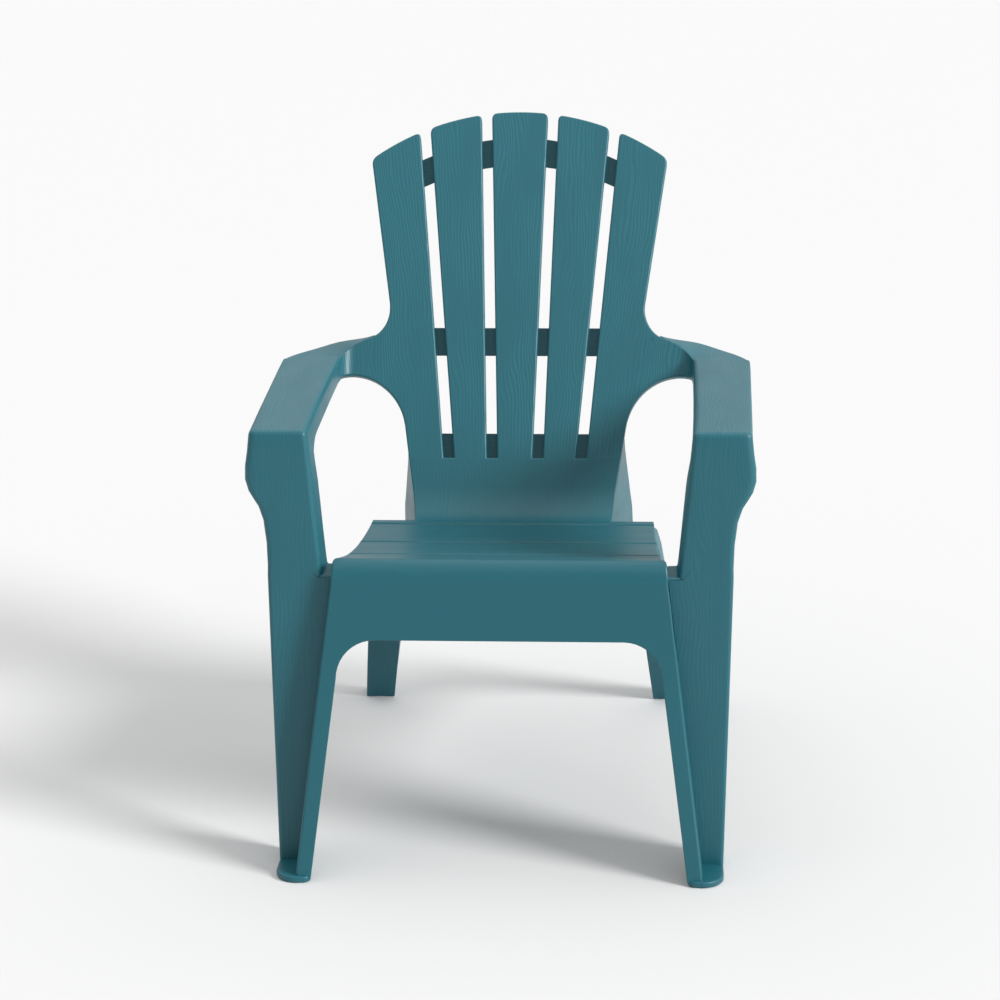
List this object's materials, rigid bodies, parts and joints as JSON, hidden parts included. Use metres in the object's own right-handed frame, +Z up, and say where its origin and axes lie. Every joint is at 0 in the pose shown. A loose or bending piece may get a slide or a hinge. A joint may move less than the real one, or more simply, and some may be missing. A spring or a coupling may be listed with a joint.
{
  "type": "adirondack chair",
  "caption": "Moulded plastic Adirondack garden chair with a reclined fan back of separate slats, a dished slatted seat, broad flat arms and splayed legs.",
  "frame": {"origin": "on the ground, under the middle of the chair's bounding box", "axes": "+Z up, -Y the way the sitter faces, +X to the sitter's left"},
  "size_m": [0.6676, 0.7959, 0.905],
  "materials": {
    "moulded_plastic": "semi-matt moulded polypropylene, teal, with a shallow wood-grain texture"
  },
  "bodies": {
    "root": {"arm_inner_rail_left": "moulded_plastic", "arm_inner_rail_right": "moulded_plastic", "arm_outer_rail_left": "moulded_plastic", "arm_outer_rail_right": "moulded_plastic", "arm_top_left": "moulded_plastic", "arm_top_right": "moulded_plastic", "back_panel": "moulded_plastic", "back_rail_lower": "moulded_plastic", "back_rail_middle": "moulded_plastic", "back_rail_top": "moulded_plastic", "back_slat_left_inner": "moulded_plastic", "back_slat_left_outer": "moulded_plastic", "back_slat_middle": "moulded_plastic", "back_slat_right_inner": "moulded_plastic", "back_slat_right_outer": "moulded_plastic", "back_wing_left": "moulded_plastic", "back_wing_right": "moulded_plastic", "front_foot_left": "moulded_plastic", "front_foot_right": "moulded_plastic", "front_leg_panel_left": "moulded_plastic", "front_leg_panel_right": "moulded_plastic", "front_leg_strip_left": "moulded_plastic", "front_leg_strip_right": "moulded_plastic", "front_leg_web_left": "moulded_plastic", "front_leg_web_right": "moulded_plastic", "rear_leg_panel_left": "moulded_plastic", "rear_leg_panel_right": "moulded_plastic", "rear_leg_web_left": "moulded_plastic", "rear_leg_web_right": "moulded_plastic", "seat_apron": "moulded_plastic", "seat_skirt_left": "moulded_plastic", "seat_skirt_right": "moulded_plastic", "seat_slat_front": "moulded_plastic", "seat_slat_rear": "moulded_plastic", "seat_slat_second": "moulded_plastic", "seat_slat_third": "moulded_plastic"}
  },
  "joints": []
}
